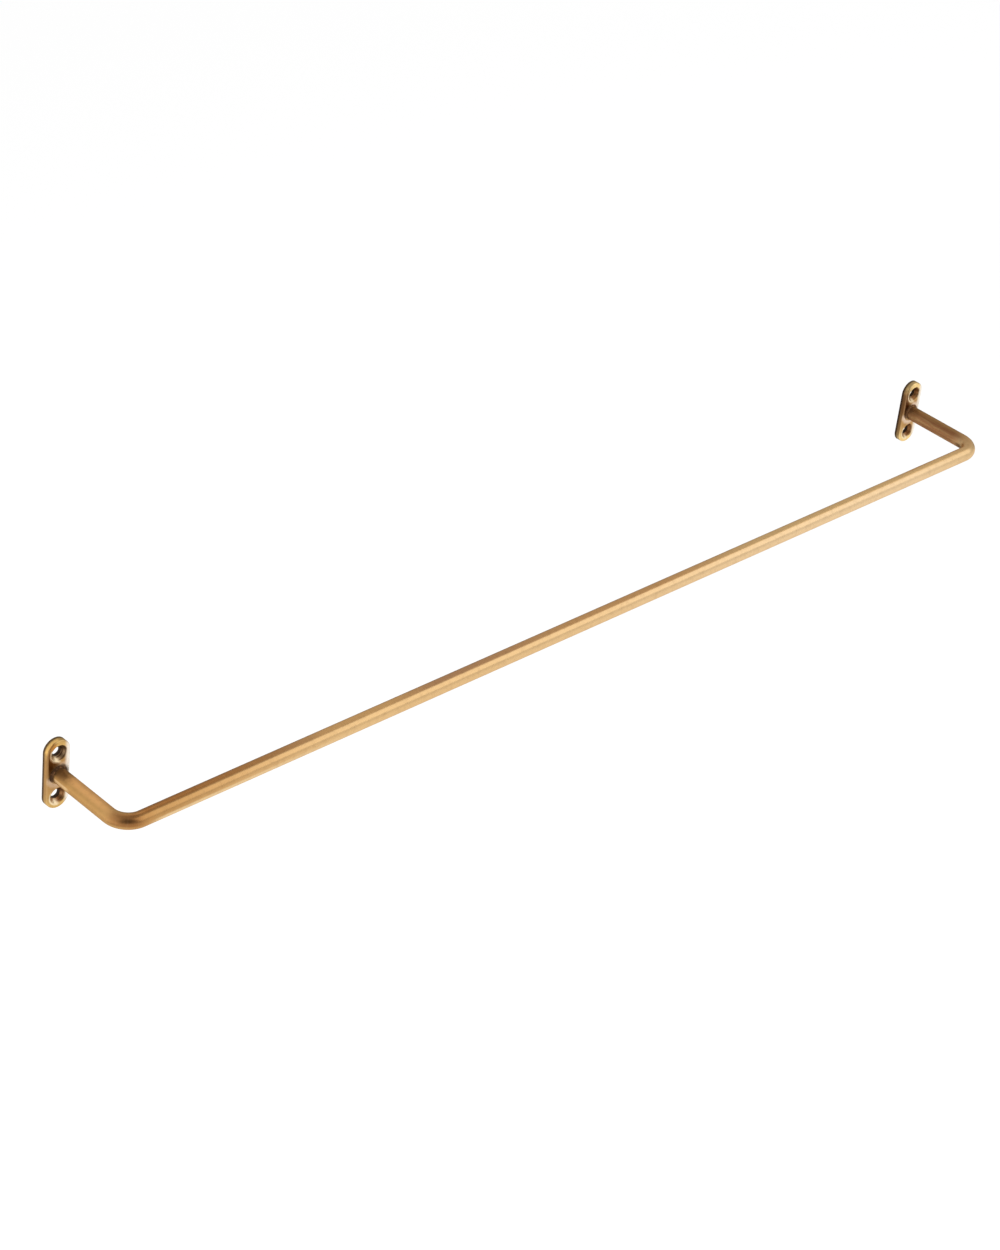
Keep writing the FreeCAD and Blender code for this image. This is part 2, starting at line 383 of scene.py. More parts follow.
def rise(tree, value, stretch, depth=1.0):
    """Goes smoothly from nothing to a depth as the value goes over the stretch."""
    return ramp(tree, value, stretch, (0.0, depth))


def fade(tree, value, stretch, depth=1.0):
    """Goes smoothly from a depth to nothing as the value goes over the stretch."""
    return ramp(tree, value, stretch, (depth, 0.0))


def fade_around(tree, value, centre, stretch, depth=1.0):
    """A depth at the centre that fades to nothing on both sides, over a stretch of distances from it."""
    distance = calculate(tree, "ABSOLUTE", calculate(tree, "SUBTRACT", value, centre))
    return fade(tree, distance, stretch, depth)


def masked(tree, mask, levels):
    """The first level where the mask is 0 and the second where it is 1."""
    return ramp(tree, mask, (0.0, 1.0), levels)


def grain(tree, place, scale, detail=GRAIN_DETAIL, roughness=GRAIN_ROUGHNESS):
    """Noise from 0 to 1. The scale is a number, or one number for each direction, per millimetre."""
    factors = scale if isinstance(scale, tuple) else (scale,) * 3
    stretched = add_node(tree, "ShaderNodeVectorMath", {0: place, 1: factors}, operation="MULTIPLY")
    inputs = {"Vector": stretched.outputs[0], "Scale": 1.0, "Detail": detail, "Roughness": roughness}
    return add_node(tree, "ShaderNodeTexNoise", inputs).outputs["Fac"]


def mix_colours(tree, factor, first, second, blend="MIX"):
    """The first colour, with the factor's share of the second blended in."""
    inputs = {"Factor": factor, "A": first, "B": second}
    node = add_node(tree, "ShaderNodeMix", data_type="RGBA", blend_type=blend)
    for socket in node.inputs:
        if socket.name in inputs and socket.type in ("RGBA", "VALUE") and socket.enabled:
            value = inputs[socket.name]
            if isinstance(value, bpy.types.NodeSocket):
                tree.links.new(value, socket)
            else:
                socket.default_value = value
    return next(socket for socket in node.outputs if socket.type == "RGBA")


def separate(tree, vector):
    """The three coordinates of a vector."""
    return add_node(tree, "ShaderNodeSeparateXYZ", {0: vector}).outputs


def dot_product(tree, first, second):
    """The dot product of two vectors."""
    inputs = {0: first, 1: second}
    return add_node(tree, "ShaderNodeVectorMath", inputs, operation="DOT_PRODUCT").outputs["Value"]


def millimetres(tree, metres):
    """A vector in millimetres from one in metres."""
    inputs = {"Vector": metres, "Scale": 1 / MM}
    return add_node(tree, "ShaderNodeVectorMath", inputs, operation="SCALE").outputs[0]


def new_material(name):
    """An empty material and its node tree."""
    material = bpy.data.materials.new(name)
    material.use_nodes = True
    material.node_tree.nodes.clear()
    return material, material.node_tree


def show_surface(tree, shader):
    """Makes the shader the material's surface."""
    output = add_node(tree, "ShaderNodeOutputMaterial")
    tree.links.new(shader.outputs[0], output.inputs["Surface"])


# Colours

def colour(red, green, blue):
    """An opaque colour."""
    return (red, green, blue, 1.0)


DEEP_BRASS = colour(0.51, 0.29, 0.10)
GOLDEN_BRASS = colour(0.78, 0.51, 0.24)
PALE_BRASS = colour(0.86, 0.62, 0.36)
WARM_BRASS = colour(0.80, 0.55, 0.28)
ARM_BRASS = colour(0.385, 0.18, 0.078)
ARM_GOLD = colour(0.52, 0.33, 0.14)
# Painted dark reflection on the left bend
BEND_REFLECTED_BROWN = colour(0.30, 0.125, 0.040)
ROOT_BROWN = colour(0.20, 0.095, 0.030)
# Painted highlight on the top of the left arm
ARM_TOP_HIGHLIGHT_BRASS = colour(0.84, 0.47, 0.18)
# Painted highlight under the bar's left part and along the root of the left arm
PALE_HIGHLIGHT = colour(0.88, 0.64, 0.35)
# Red tint: tarnish, and on the bar's top also painted shade
RED_TARNISH_AND_SHADE_TINT = colour(0.88, 0.68, 0.53)
COPPER_TINGE = colour(0.98, 0.90, 0.83)
# Tones of the band along the bar's top, partly tarnish and partly painted shade
BAND_BROWN = colour(0.70, 0.375, 0.175)
BAND_WARM = colour(0.84, 0.465, 0.19)
BAND_GOLD = colour(0.97, 0.63, 0.285)
BAND_PATCH = colour(0.92, 0.53, 0.21)
# Brown patina, also used for painted shade and a painted dark reflection on the rod
BROWN_PATINA_AND_SHADE = colour(0.20, 0.095, 0.04)
# Dark grime, also used for painted shade on the plates
DARK_GRIME_AND_SHADE = colour(0.05, 0.026, 0.014)
WORN_EDGE = colour(0.90, 0.66, 0.38)
GLANCING_BRASS = colour(0.88, 0.80, 0.70)
PLATE_BRASS = colour(0.50, 0.275, 0.095)
PLATE_GOLD = colour(0.70, 0.44, 0.145)
PLATE_BRIGHT = colour(0.98, 0.71, 0.31)
PLATE_BROWN = colour(0.29, 0.135, 0.034)
PLATE_SIDE = colour(0.30, 0.16, 0.065)
MARGIN_BROWN = colour(0.19, 0.078, 0.026)
AMBER_SMEAR = colour(0.56, 0.24, 0.045)
# Painted highlights on the plates: right margin, lips and round the joint
MARGIN_HIGHLIGHT = colour(0.97, 0.89, 0.78)
LIP_HIGHLIGHT = colour(0.97, 0.80, 0.53)
PALE_ROSE_HIGHLIGHT = colour(0.94, 0.76, 0.62)
CONE_BROWN = colour(0.28, 0.145, 0.052)
CONE_RING = colour(0.50, 0.32, 0.17)
FLOOR_GREY = colour(0.45, 0.45, 0.45)
WHITE = colour(1, 1, 1)


# Finish of all the brass

MOTTLE_SCALE = 0.30
MOTTLE_DETAIL = 4.0
MOTTLE_ROUGHNESS = 0.6
MOTTLE_RANGE = (0.45, 0.75)
MOTTLE_HEIGHT = 1.5
STAIN_SCALE = 1.1
STAIN_DETAIL = 2.0
STAIN_RANGE = (0.62, 0.76)
STAIN_DEPTH = 0.22
BRUSH_DARK_RANGE = (0.30, 0.45)
BRUSH_BRIGHT_RANGE = (0.55, 0.72)
BRUSH_DEPTH = 0.07
BRUSH_ROUGH_RANGE = (0.25, 0.75)
BRUSH_ROUGHNESS = 0.07
WEAR_DEPTH = 0.12
GRIME_ROUGHNESS = 0.25
GRIME_COVER = 0.85
GRIME_GLOSS = 0.12
BUMP_STRENGTH = 0.12
BUMP_DISTANCE = 0.02 * MM
LIGHT_MOTTLING = 0.14

# Places along X, in metres, between which the left end's finish gives way to the right end's
END_CHANGE = (-0.1, 0.1)


def right_end(tree):
    """0 at the left end of the rail and 1 at the right end."""
    position = add_node(tree, "ShaderNodeNewGeometry").outputs["Position"]
    return rise(tree, separate(tree, position)[0], END_CHANGE)


def finish_brass(tree, place, base, grime, brush_scale, roughness, wear=None, mottling=LIGHT_MOTTLING):
    """Puts brush marks, faint stains, grime (with painted shade in it on the plates) and worn edges on a base
    colour, and makes the surface shader.
    """
    brush = grain(tree, place, brush_scale)
    mottle = grain(tree, place, MOTTLE_SCALE, MOTTLE_DETAIL, MOTTLE_ROUGHNESS)
    stain = grain(tree, place, STAIN_SCALE, STAIN_DETAIL)
    tone = mix_colours(tree, rise(tree, mottle, MOTTLE_RANGE, mottling), base, BROWN_PATINA_AND_SHADE)
    tone = mix_colours(tree, rise(tree, stain, STAIN_RANGE, STAIN_DEPTH), tone, BROWN_PATINA_AND_SHADE)
    tone = mix_colours(tree, fade(tree, brush, BRUSH_DARK_RANGE, BRUSH_DEPTH), tone, BROWN_PATINA_AND_SHADE)
    tone = mix_colours(tree, rise(tree, brush, BRUSH_BRIGHT_RANGE, BRUSH_DEPTH), tone, WORN_EDGE)
    if wear is not None:
        tone = mix_colours(tree, product(tree, wear, WEAR_DEPTH), tone, WORN_EDGE)
    tone = mix_colours(tree, grime, tone, DARK_GRIME_AND_SHADE)
    rough = calculate(tree, "ADD", roughness, rise(tree, brush, BRUSH_ROUGH_RANGE, BRUSH_ROUGHNESS))
    rough = calculate(tree, "ADD", rough, product(tree, grime, GRIME_ROUGHNESS))
    height = calculate(tree, "ADD", brush, product(tree, mottle, MOTTLE_HEIGHT))
    bump = {"Height": height, "Strength": BUMP_STRENGTH, "Distance": BUMP_DISTANCE}
    shader = add_node(tree, "ShaderNodeBsdfPrincipled", {
        "Base Color": tone,
        "Metallic": rest_of(tree, product(tree, grime, GRIME_COVER)),
        "Roughness": rough,
        "Normal": add_node(tree, "ShaderNodeBump", bump).outputs[0],
        "Specular Tint": GLANCING_BRASS,
        "Specular IOR Level": GRIME_GLOSS,
    })
    show_surface(tree, shader)


# Finish of the rod, with runs in millimetres from its left end at the wall and far runs from its right end

# Directions out of the straightened rod, to the sides that get their own tint, painted shade or painted
# highlight
UPPER_BACK = (0.0, -0.17, 0.985)
OUTER_TOP = (0.0, 0.76, 0.65)
OUTER_BACK = (0.0, 0.34, 0.94)
INNER_TOP = (0.0, -0.60, 0.80)
INNER_LOW = (0.0, -0.85, -0.53)
LOWER_FRONT = (0.0, 0.906, -0.423)
OUTER_SIDE = (0.0, 0.998, -0.06)

# Bar
CLOUD_SCALE = 0.03
CLOUD_MIDDLE = 0.5
CLOUD_DRIFT = 60.0
GOLDEN_RUN = (10.0, 190.0)
PALE_RUN = (200.0, 600.0)
WARM_FAR_RUN = (45.0, 110.0)

# Right arm, with a painted dark reflection and a painted highlight along it, and painted shade inside its
# bend
STREAK_SCALE = (0.06, 0.8, 0.8)
STREAK_RANGE = (0.44, 0.66)
STREAK_DEPTH = 0.60
ARM_DARK_REFLECTION_SHARE = (0.80, 0.99)
ARM_DARK_REFLECTION_DEPTH = 0.14
ARM_HIGHLIGHT_SHARE = (0.60, 0.95)
ARM_HIGHLIGHT_DEPTH = 0.75
ARM_FAR_RUN = (36.0, 50.0)
CORNER_SHADE_FAR_RUN = 45.0
CORNER_SHADE_SHARE = (0.70, 0.95)
CORNER_SHADE_REACH = (2.0, 6.0)
CORNER_SHADE_DEPTH = 0.85

# Left bend, with a painted dark reflection
BEND_REFLECTION_RUN = 50.4
BEND_REFLECTION_REACH = (3.0, 9.0)
BEND_REFLECTION_DEPTH = 0.74
BEND_REFLECTION_SHARE = (0.50, 0.80)
COPPER_START_RUN = (46.0, 58.0)
COPPER_END_RUN = (75.0, 190.0)
PAST_BEND_RUN = 56.0
PAST_BEND_REACH = (3.0, 10.0)
PAST_BEND_DEPTH = 0.22

# Top of the bar, with a tint that is partly tarnish and partly painted shade, and top of the left arm, with a
# painted highlight
TOP_SHARE = (0.74, 0.92)
TOP_TINT_START_RUN = (50.0, 64.0)
TOP_TINT_THIN_RUN = (100.0, 220.0)
TOP_TINT_LEVELS = (1.0, 0.45)
ARM_TOP_HIGHLIGHT_SHARE = (0.46, 0.92)
ARM_TOP_HIGHLIGHT_DEPTH = 0.84
ARM_TOP_HIGHLIGHT_END_RUN = (36.0, 49.0)
BAND_START_RUN = (130.0, 175.0)
BAND_END_FAR_RUN = (45.0, 70.0)
BAND_WARM_RUN = (250.0, 340.0)
BAND_GOLD_RUN = (390.0, 480.0)
BAND_PATCH_RUN = 190.0
BAND_PATCH_REACH = (15.0, 55.0)

# Painted highlights: under the left of the bar, and along the root of the left arm
UNDER_SHARE = (0.84, 0.97)
UNDER_DEPTH = 0.85
UNDER_START_RUN = (58.0, 70.0)
UNDER_END_RUN = (100.0, 230.0)
ROOT_LINE_SHARE = (0.955, 0.99)
ROOT_LINE_DEPTH = 0.7
ROOT_LINE_START_RUN = (5.0, 7.0)
ROOT_LINE_END_RUN = (14.0, 18.0)

# Stain and grime at the roots of the arms, with ends and depths for the left arm and the right arm
ARM_CHANGE_RUN = (100.0, 600.0)
ROOT_SMUDGE_SCALE = 0.45
ROOT_SMUDGE_REACH = -6.0
ROOT_UPPER_SHARE = (-0.1, 0.6)
ROOT_UPPER_LEVELS = (0.15, 1.0)
ROOT_STAIN_START = 6.0
ROOT_STAIN_ENDS = (14.0, 9.0)
ROOT_STAIN_DEPTHS = (0.85, 0.50)
ROOT_GRIME_REACH = (1.0, 4.5)
ROOT_GRIME_DEPTHS = (0.85, 0.55)

# Roughness and brushing
ROD_BRUSH_SCALE = (2.4, 0.16, 0.16)
ARM_ROUGHNESS = 0.50
BAR_ROUGHNESSES = (0.22, 0.27)
BAR_ROUGHER_RUN = (450.0, 600.0)
SMOOTHER_RUN = (40.0, 58.0)


def across_rod(tree, place, direction):
    """How far a point of the straightened rod lies in a direction, as a share of the rod's radius."""
    return calculate(tree, "DIVIDE", dot_product(tree, place, direction), ROD_RADIUS / MM)


def bar_tones(tree, place, run, far_run):
    """Deep brass at the left end, golden and then pale brass further on, and warm brass at the right end."""
    cloud = calculate(tree, "SUBTRACT", grain(tree, place, CLOUD_SCALE), CLOUD_MIDDLE)
    drifted = calculate(tree, "ADD", run, product(tree, cloud, CLOUD_DRIFT))
    base = mix_colours(tree, rise(tree, drifted, GOLDEN_RUN), DEEP_BRASS, GOLDEN_BRASS)
    base = mix_colours(tree, rise(tree, drifted, PALE_RUN), base, PALE_BRASS)
    return mix_colours(tree, fade(tree, far_run, WARM_FAR_RUN), base, WARM_BRASS)


def right_arm_tones(tree, place, far_run, base):
    """The dark, streaked right arm with a painted dark reflection and a painted highlight along it, and
    painted shade in the corner of its bend.
    """
    streak = grain(tree, place, STREAK_SCALE)
    arm_tone = mix_colours(tree, rise(tree, streak, STREAK_RANGE, STREAK_DEPTH), ARM_BRASS, ARM_GOLD)
    # Painted dark reflection along the inner top of the right arm
    arm_dark_reflection = rise(tree, across_rod(tree, place, INNER_TOP), ARM_DARK_REFLECTION_SHARE, ARM_DARK_REFLECTION_DEPTH)
    arm_tone = mix_colours(tree, arm_dark_reflection, arm_tone, BROWN_PATINA_AND_SHADE)
    # Painted highlight along the outer back of the right arm
    outer_back = rise(tree, across_rod(tree, place, OUTER_BACK), ARM_HIGHLIGHT_SHARE, ARM_HIGHLIGHT_DEPTH)
    arm_tone = mix_colours(tree, outer_back, arm_tone, ARM_GOLD)
    base = mix_colours(tree, fade(tree, far_run, ARM_FAR_RUN), base, arm_tone)
    # Painted shade in the inner corner of the right bend
    inner_low = rise(tree, across_rod(tree, place, INNER_LOW), CORNER_SHADE_SHARE)
    corner_shade = fade_around(tree, far_run, CORNER_SHADE_FAR_RUN, CORNER_SHADE_REACH, CORNER_SHADE_DEPTH)
    return mix_colours(tree, product(tree, inner_low, corner_shade), base, BROWN_PATINA_AND_SHADE)


def left_bend_tones(tree, place, run, base):
    """A painted dark reflection on the left bend, and the coppery tinge of the bar past it."""
    # Painted dark reflection on the outer top of the left bend
    bend_reflection = fade_around(tree, run, BEND_REFLECTION_RUN, BEND_REFLECTION_REACH, BEND_REFLECTION_DEPTH)
    outer_top = rise(tree, across_rod(tree, place, OUTER_TOP), BEND_REFLECTION_SHARE)
    base = mix_colours(tree, product(tree, bend_reflection, outer_top), base, BEND_REFLECTED_BROWN)
    coppery = product(tree, rise(tree, run, COPPER_START_RUN), fade(tree, run, COPPER_END_RUN))
    base = mix_colours(tree, coppery, base, COPPER_TINGE, blend="MULTIPLY")
    past_bend = fade_around(tree, run, PAST_BEND_RUN, PAST_BEND_REACH, PAST_BEND_DEPTH)
    return mix_colours(tree, past_bend, base, RED_TARNISH_AND_SHADE_TINT, blend="MULTIPLY")


def top_tones(tree, place, run, far_run, base):
    """A red tint and a band of changing tone along the bar's top, partly tarnish and partly painted shade
    where the top faces the dim room, and a painted highlight on the top of the left arm.
    """
    upward = across_rod(tree, place, UPPER_BACK)
    on_top = rise(tree, upward, TOP_SHARE)
    thinning = ramp(tree, run, TOP_TINT_THIN_RUN, TOP_TINT_LEVELS)
    # Red tint on the bar's top: partly tarnish, partly painted shade
    tarnish_and_shade_tint = product(tree, on_top, thinning, rise(tree, run, TOP_TINT_START_RUN))
    base = mix_colours(tree, tarnish_and_shade_tint, base, RED_TARNISH_AND_SHADE_TINT, blend="MULTIPLY")
    on_arm = fade(tree, run, ARM_TOP_HIGHLIGHT_END_RUN)
    # Painted highlight along the top of the left arm
    arm_top_highlight = product(tree, rise(tree, upward, ARM_TOP_HIGHLIGHT_SHARE, ARM_TOP_HIGHLIGHT_DEPTH), on_arm)
    base = mix_colours(tree, arm_top_highlight, base, ARM_TOP_HIGHLIGHT_BRASS)
    # Band along the bar's top: deeper colour, partly tarnish and partly painted shade
    band_tone = mix_colours(tree, rise(tree, run, BAND_WARM_RUN), BAND_BROWN, BAND_WARM)
    band_tone = mix_colours(tree, rise(tree, run, BAND_GOLD_RUN), band_tone, BAND_GOLD)
    patch = fade_around(tree, run, BAND_PATCH_RUN, BAND_PATCH_REACH)
    band_tone = mix_colours(tree, patch, band_tone, BAND_PATCH)
    along = product(tree, rise(tree, run, BAND_START_RUN), rise(tree, far_run, BAND_END_FAR_RUN))
    return mix_colours(tree, product(tree, on_top, along), base, band_tone)


def bright_lines(tree, place, run, base):
    """Painted highlights: a pale band along the underside of the bar's left part, and a thin bright line
    along the root of the left arm.
    """
    under = rise(tree, across_rod(tree, place, LOWER_FRONT), UNDER_SHARE, UNDER_DEPTH)
    along = product(tree, rise(tree, run, UNDER_START_RUN), fade(tree, run, UNDER_END_RUN))
    base = mix_colours(tree, product(tree, under, along), base, PALE_HIGHLIGHT)
    outer_side = rise(tree, across_rod(tree, place, OUTER_SIDE), ROOT_LINE_SHARE, ROOT_LINE_DEPTH)
    along = product(tree, rise(tree, run, ROOT_LINE_START_RUN), fade(tree, run, ROOT_LINE_END_RUN))
    return mix_colours(tree, product(tree, along, outer_side), base, PALE_HIGHLIGHT)


def root_tones(tree, place, run, nearest, base):
    """The base colour with brown stains on top of the arms' roots, and the grime close to the plates."""
    smudge = grain(tree, place, ROOT_SMUDGE_SCALE)
    reach = calculate(tree, "ADD", nearest, product(tree, smudge, ROOT_SMUDGE_REACH))
    upper_half = ramp(tree, across_rod(tree, place, UPPER_BACK), ROOT_UPPER_SHARE, ROOT_UPPER_LEVELS)
    stain_end = ramp(tree, run, ARM_CHANGE_RUN, ROOT_STAIN_ENDS)
    stain_depth = ramp(tree, run, ARM_CHANGE_RUN, ROOT_STAIN_DEPTHS)
    stain = fade(tree, reach, (ROOT_STAIN_START, stain_end), stain_depth)
    base = mix_colours(tree, product(tree, stain, upper_half), base, ROOT_BROWN)
    grime_depth = ramp(tree, run, ARM_CHANGE_RUN, ROOT_GRIME_DEPTHS)
    return base, fade(tree, reach, ROOT_GRIME_REACH, grime_depth)


def rod_finish():
    """Aged brushed brass, deepest on the arms and at the bar's left end, with dark grime at the plates."""
    material, tree = new_material("aged_brass_rod")
    straightened = add_node(tree, "ShaderNodeAttribute", attribute_name="straightened").outputs["Vector"]
    place = millimetres(tree, straightened)
    run = separate(tree, place)[0]
    far_run = calculate(tree, "SUBTRACT", rod_length() / MM, run)
    nearest = calculate(tree, "MINIMUM", run, far_run)
    base = bar_tones(tree, place, run, far_run)
    base = right_arm_tones(tree, place, far_run, base)
    base = left_bend_tones(tree, place, run, base)
    base = top_tones(tree, place, run, far_run, base)
    base = bright_lines(tree, place, run, base)
    base, grime = root_tones(tree, place, run, nearest, base)
    bar_roughness = ramp(tree, run, BAR_ROUGHER_RUN, BAR_ROUGHNESSES)
    roughness = ramp(tree, nearest, SMOOTHER_RUN, (ARM_ROUGHNESS, bar_roughness))
    finish_brass(tree, place, base, grime, ROD_BRUSH_SCALE, roughness)
    return material


# Finish of the plates, in millimetres from the middle of a plate's back

# Pairs of shares or depths are for the left plate and the right plate

# Joint with the arm, with grime and a painted shadow on its upper side and upper left
JOINT_SMUDGE_SCALE = 0.5
JOINT_SMUDGE_REACH = -3.0
JOINT_GRIME_AND_SHADOW_REACH = (2.6, 5.2)
JOINT_GRIME_AND_SHADOW_DEPTH = 0.85
JOINT_GRIME_AND_SHADOW_SHARES = (1.0, 0.1)
JOINT_UPPER_Z = (-2.5, 0.5)
JOINT_UPPER_LEVELS = (0.05, 1.0)
JOINT_CORNER_X = (-2.5, 1.5)
JOINT_CORNER_Z = (-1.5, 1.0)
# Painted highlight round the joint
ROSE_HIGHLIGHT_REACH = (4.0, 6.5)
ROSE_HIGHLIGHT_DEPTHS = (0.3, 0.65)
ROSE_HIGHLIGHT_BEHIND_FACE = (0.4, 1.0)

# Countersunk holes, with painted highlights on the lower left of each lip and on the turned rings in their
# lower half
LIP_HIGHLIGHT_ACROSS = -0.85
LIP_HIGHLIGHT_UPWARD = -0.53
LIP_HIGHLIGHT_REACH = (0.9, 3.0)
HOLE_FRONT_Y = (-0.6, -0.3)
CONE_PAST_RIM = (-0.7, 0.1)
CONE_GRIME_LEVELS = (0.85, 0.0)
CONE_GRIME_SHARES = (0.7, 0.25)
RING_SCALE = 2.2
RING_DETAIL = 2.0
RING_RANGE = (0.44, 0.54)
RING_HEIGHT = (-1.0, 1.5)
RING_HEIGHT_LEVELS = (1.0, 0.25)
RING_SHARES = (1.0, 0.5)
RING_GRIME_LEVELS = (1.0, 0.25)
RING_TONE_RANGE = (0.40, 0.50)
RING_TONE_DEPTH = 0.8
LOWER_HOLE_Z = (-1.0, 1.0)
LOWER_HOLE_GRIME_LEVELS = (1.0, 0.7)
# Grime and painted shade deep in the holes
HOLE_PAST_WALL = (0.05, 0.35)
HOLE_GRIME_AND_SHADE_DEPTH = 0.97
LIP_PAST_RIM = (0.4, 1.0)
LIP_HIGHLIGHT_DEPTH = 0.8

# Sides and back
BACK_Y = (-0.12, -0.02)
BACK_DEPTH = 0.85
# Darker towards the back of the plate
WALL_LINE_Y = (-2.0, -0.9)
WALL_LINE_DEPTH = 0.88
WALL_LINE_BACK_LEVELS = (1.0, 0.35)
SIDE_BEHIND_FACE = (0.2, 1.2)
SIDE_UPRIGHT = (9.0, 17.0)
SIDE_LEVELS = (0.8, 0.35)
LEFT_SIDE_Z = (-10.0, 0.0)
LEFT_SIDE_LEVELS = (0.5, 0.08)
RIGHT_SIDE_LEVEL = 1.0

# Face
END_UPRIGHT = (6.0, 17.0)
MARGIN_X = (-4.5, -1.0)
MARGIN_Z = (-4.0, 3.0)
MARGIN_TOP_Z = (12.0, 18.0)
MARGIN_DEPTH = 0.95
MARGIN_TOP_DEPTHS = (0.8, 0.3)
MARGIN_BEHIND_FACE = (0.45, 0.90)
MARGIN_SIDE_SHARES = (0.1, 0.78)
SMEAR_X = -3.5
SMEAR_Z = 16.9
SMEAR_REACH = (1.0, 3.0)
SMEAR_DEPTH = 0.8
SMEAR_BEHIND_FACE = (0.6, 0.9)
# Painted highlight along the right margin of the face
MARGIN_HIGHLIGHT_X = (2.8, 5.4)
MARGIN_HIGHLIGHT_BEHIND_FACE = (0.6, 1.2)

# Roughness, brushing and mottling
PLATE_BRUSH_SCALE = (1.5, 1.5, 0.15)
PLATE_ROUGHNESS = 0.28
PLATE_MOTTLING = 0.30


def past(size, stretch):
    """A stretch that is measured from a size in metres, as places in millimetres."""
    return tuple(size / MM + distance for distance in stretch)


def distance_on_face(tree, across, upward):
    """The length of an offset along the plate's face."""
    flat = add_node(tree, "ShaderNodeCombineXYZ", {0: across, 2: upward}).outputs[0]
    return add_node(tree, "ShaderNodeVectorMath", {0: flat}, operation="LENGTH").outputs["Value"]


class PlatePlace:
    """Where a point of a plate lies, and how much of it belongs to each feature of the plate."""

    def __init__(self, tree):
        self.tree = tree
        self.place = millimetres(tree, add_node(tree, "ShaderNodeTexCoord").outputs["Object"])
        self.x, self.y, self.z = separate(tree, self.place)
        self.upright = calculate(tree, "ABSOLUTE", self.z)
        self.on_right = right_end(tree)
        self.on_left = rest_of(tree, self.on_right)
        self.on_back = rise(tree, self.y, BACK_Y)
        self.find_joint()
        self.find_holes()

    def find_joint(self):
        """The ragged distance from the joint's middle, and the corner of the plate at its upper left."""
        tree = self.tree
        smudge = grain(tree, self.place, JOINT_SMUDGE_SCALE)
        from_middle = distance_on_face(tree, self.x, self.z)
        self.from_joint = calculate(tree, "ADD", from_middle, product(tree, smudge, JOINT_SMUDGE_REACH))
        # The upper left of the joint, where the grime holds a painted shadow
        on_left_side = fade(tree, self.x, JOINT_CORNER_X)
        self.upper_left = product(tree, on_left_side, rise(tree, self.z, JOINT_CORNER_Z))

    def find_holes(self):
        """The distance from the nearer hole's middle, its cone, its lower left side with the painted
        highlight on the lip, and its turned rings, lit more in their lower half.
        """
        tree = self.tree
        hole_z = product(tree, calculate(tree, "SIGN", self.z), SCREW_Z / MM)
        above_hole = calculate(tree, "SUBTRACT", self.z, hole_z)
        self.from_hole = distance_on_face(tree, self.x, above_hole)
        across = product(tree, self.x, LIP_HIGHLIGHT_ACROSS)
        upward = product(tree, above_hole, LIP_HIGHLIGHT_UPWARD)
        # Lower left side of each hole: a painted highlight on the lip, and no grime in the cone
        self.lip_highlight_side = rise(tree, calculate(tree, "ADD", across, upward), LIP_HIGHLIGHT_REACH)
        self.in_front = fade(tree, self.y, HOLE_FRONT_Y)
        within_rim = fade(tree, self.from_hole, past(COUNTERSINK_RADIUS, CONE_PAST_RIM))
        self.in_cone = product(tree, within_rim, self.in_front)
        ring_place = add_node(tree, "ShaderNodeCombineXYZ", {0: self.from_hole, 2: hole_z}).outputs[0]
        self.turned = grain(tree, ring_place, RING_SCALE, RING_DETAIL)
        ring = rise(tree, self.turned, RING_RANGE)
        # Painted highlight: the turned rings lighter in the lower half of each hole
        lower_half = ramp(tree, above_hole, RING_HEIGHT, RING_HEIGHT_LEVELS)
        self.clean_and_lit_ring = product(tree, ring, lower_half, self.by_end(RING_SHARES))
        self.lower_left_hole = product(tree, fade(tree, self.z, LOWER_HOLE_Z), self.on_left)

    def by_end(self, levels):
        """The first level on the left plate and the second on the right plate."""
        return masked(self.tree, self.on_right, levels)

    def near_face(self, stretch):
        """1 on the plate's face, fading over a stretch of depths behind it."""
        return fade(self.tree, self.y, past(PLATE_FACE, stretch))

    def off_face(self, stretch):
        """0 on the plate's face, rising over a stretch of depths behind it."""
        return rise(self.tree, self.y, past(PLATE_FACE, stretch))


def plate_grime_and_shade(at):
    """Grime with a painted shadow on the joint's upper side and upper left, darker towards the back, grime in
    the cones, and grime with painted shade deep in the holes.
    """
    tree = at.tree
    upper_side = ramp(tree, at.z, JOINT_UPPER_Z, JOINT_UPPER_LEVELS)
    upper_side = product(tree, upper_side, at.by_end(JOINT_GRIME_AND_SHADOW_SHARES))
    # Grime round the joint, with a painted shadow on its upper side and upper left
    joint = fade(tree, at.from_joint, JOINT_GRIME_AND_SHADOW_REACH, JOINT_GRIME_AND_SHADOW_DEPTH)
    joint = product(tree, joint, greatest(tree, at.upper_left, upper_side))
    wall_line = rise(tree, at.y, WALL_LINE_Y, WALL_LINE_DEPTH)
    wall_line = product(tree, wall_line, masked(tree, at.on_back, WALL_LINE_BACK_LEVELS))
    cone = product(
        tree,
        at.in_cone,
        masked(tree, at.lip_highlight_side, CONE_GRIME_LEVELS),
        at.by_end(CONE_GRIME_SHARES),
        masked(tree, at.clean_and_lit_ring, RING_GRIME_LEVELS),
        masked(tree, at.lower_left_hole, LOWER_HOLE_GRIME_LEVELS),
    )
    # Grime and painted shade deep in the holes
    hole = fade(tree, at.from_hole, past(HOLE_RADIUS, HOLE_PAST_WALL), HOLE_GRIME_AND_SHADE_DEPTH)
    return greatest(tree, joint, wall_line, cone, hole)


